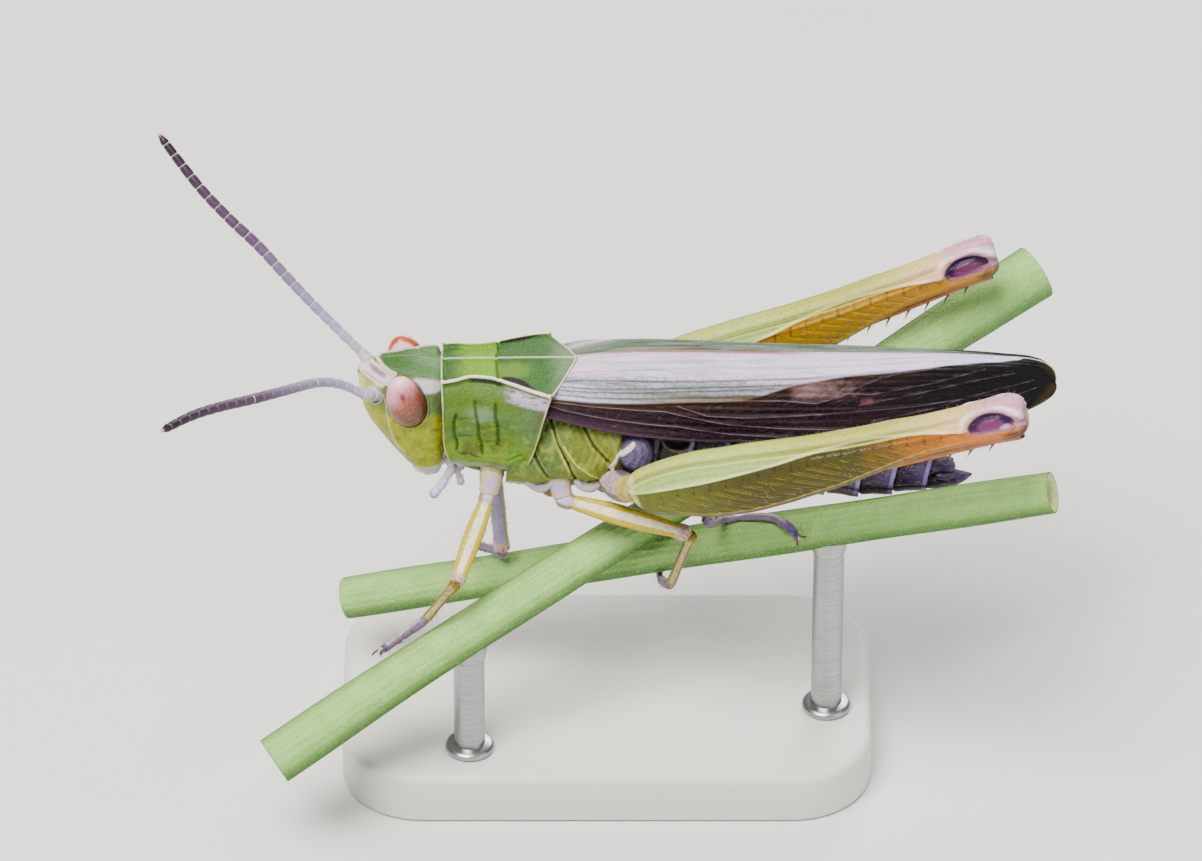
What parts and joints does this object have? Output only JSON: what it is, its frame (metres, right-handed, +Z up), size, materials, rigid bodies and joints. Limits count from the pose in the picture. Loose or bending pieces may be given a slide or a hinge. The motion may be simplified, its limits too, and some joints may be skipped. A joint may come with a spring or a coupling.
{
  "type": "grasshopper model on grass stems",
  "caption": "Life-size still model of a short-horned green grasshopper gripping two cut grass stems, held by a flat base with short rods.",
  "frame": {"origin": "middle of the whole model's bounding box, on the underside of the stand's flat base", "axes": "+X towards the insect's tail, +Y towards its right side, +Z up"},
  "size_m": [0.0242, 0.0124, 0.0171],
  "materials": {
    "eye": "smooth gloss, finely mottled salmon to red-brown",
    "head_skin": "satin horny skin, yellow-green with pale rims",
    "shield": "satin, finely pitted green with cream keels",
    "thorax_plates": "satin green plates with dark sutures",
    "abdomen_rings": "satin mauve-grey rings with pale edges",
    "wing": "satin veined membrane, pale lilac to purple-brown",
    "feeler": "dull ringed lilac-grey to brown",
    "hind_thigh": "satin pale green above, olive herringbone below, orange to the knee",
    "leg": "satin olive-yellow with a lilac-white stripe",
    "foot": "dull grey-purple",
    "grass_stem": "matt, finely grained light green",
    "stand_paint": "matt off-white paint",
    "stand_steel": "satin steel rod"
  },
  "bodies": {
    "root": {"abdomen": "abdomen_rings", "abdomen_tip": "abdomen_rings", "antenna_left": "feeler", "antenna_right": "feeler", "eye_left": "eye", "eye_right": "eye", "fore_left_coxa": "leg", "fore_left_femur": "leg", "fore_left_tarsus": "foot", "fore_left_tibia": "leg", "fore_right_coxa": "leg", "fore_right_femur": "leg", "fore_right_tarsus": "foot", "fore_right_tibia": "leg", "head": "head_skin", "hind_left_coxa": "leg", "hind_left_femur": "hind_thigh", "hind_left_tarsus": "foot", "hind_left_tibia": "leg", "hind_right_coxa": "leg", "hind_right_femur": "hind_thigh", "hind_right_tarsus": "foot", "hind_right_tibia": "leg", "mid_left_coxa": "leg", "mid_left_femur": "leg", "mid_left_tarsus": "foot", "mid_left_tibia": "leg", "mid_right_coxa": "leg", "mid_right_femur": "leg", "mid_right_tarsus": "foot", "mid_right_tibia": "leg", "palp_left": "feeler", "palp_right": "feeler", "perch_stem_front": "grass_stem", "perch_stem_rear": "grass_stem", "pronotum": "shield", "prosternum": "thorax_plates", "stand_base": "stand_paint", "stand_rod_front": "stand_steel", "stand_rod_rear": "stand_steel", "tegmen_left": "wing", "tegmen_right": "wing", "thorax": "thorax_plates"}
  },
  "joints": []
}
